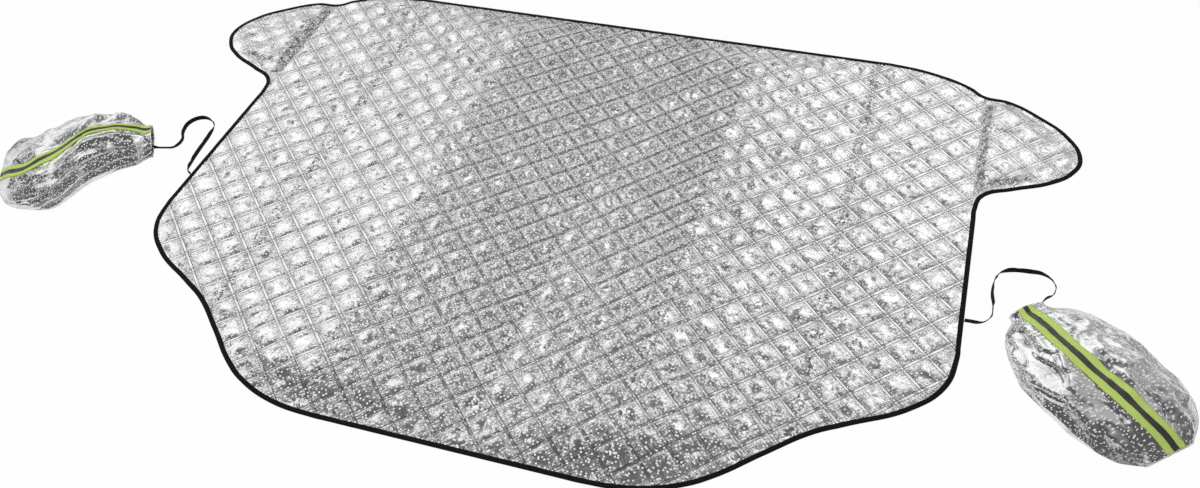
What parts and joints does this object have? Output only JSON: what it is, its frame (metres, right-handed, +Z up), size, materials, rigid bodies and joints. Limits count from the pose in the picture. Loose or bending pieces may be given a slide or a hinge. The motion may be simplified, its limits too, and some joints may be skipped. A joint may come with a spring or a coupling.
{
  "type": "windshield frost cover",
  "caption": "Quilted foil frost cover for a car windshield with side door flaps, a dark edge binding and two mirror pouches on elastic straps.",
  "frame": {"origin": "on the ground under the middle of the quilted panel's outline, on the panel's flat underside", "axes": "+Z up, +Y towards the panel's roof edge, +X towards the right-hand flap"},
  "size_m": [2.2372, 1.1566, 0.0466],
  "materials": {
    "quilted_foil": "silver foil on wadding, quilted with twin rows of stitches",
    "pouch_film": "thin silver film with small pale dots",
    "black_tape": "matt woven tape",
    "black_elastic": "matt flat elastic",
    "bright_band": "bright yellow-green cloth tape",
    "grey_stripe": "dark grey reflective stripe"
  },
  "bodies": {
    "root": {"quilted_panel": "quilted_foil", "left_flap": "quilted_foil", "right_flap": "quilted_foil", "edge_binding": "black_tape", "left_strap": "black_elastic", "right_strap": "black_elastic", "left_pouch": "pouch_film", "right_pouch": "pouch_film", "left_pouch_band": "bright_band", "right_pouch_band": "bright_band", "left_pouch_stripe": "grey_stripe", "right_pouch_stripe": "grey_stripe"}
  },
  "joints": []
}
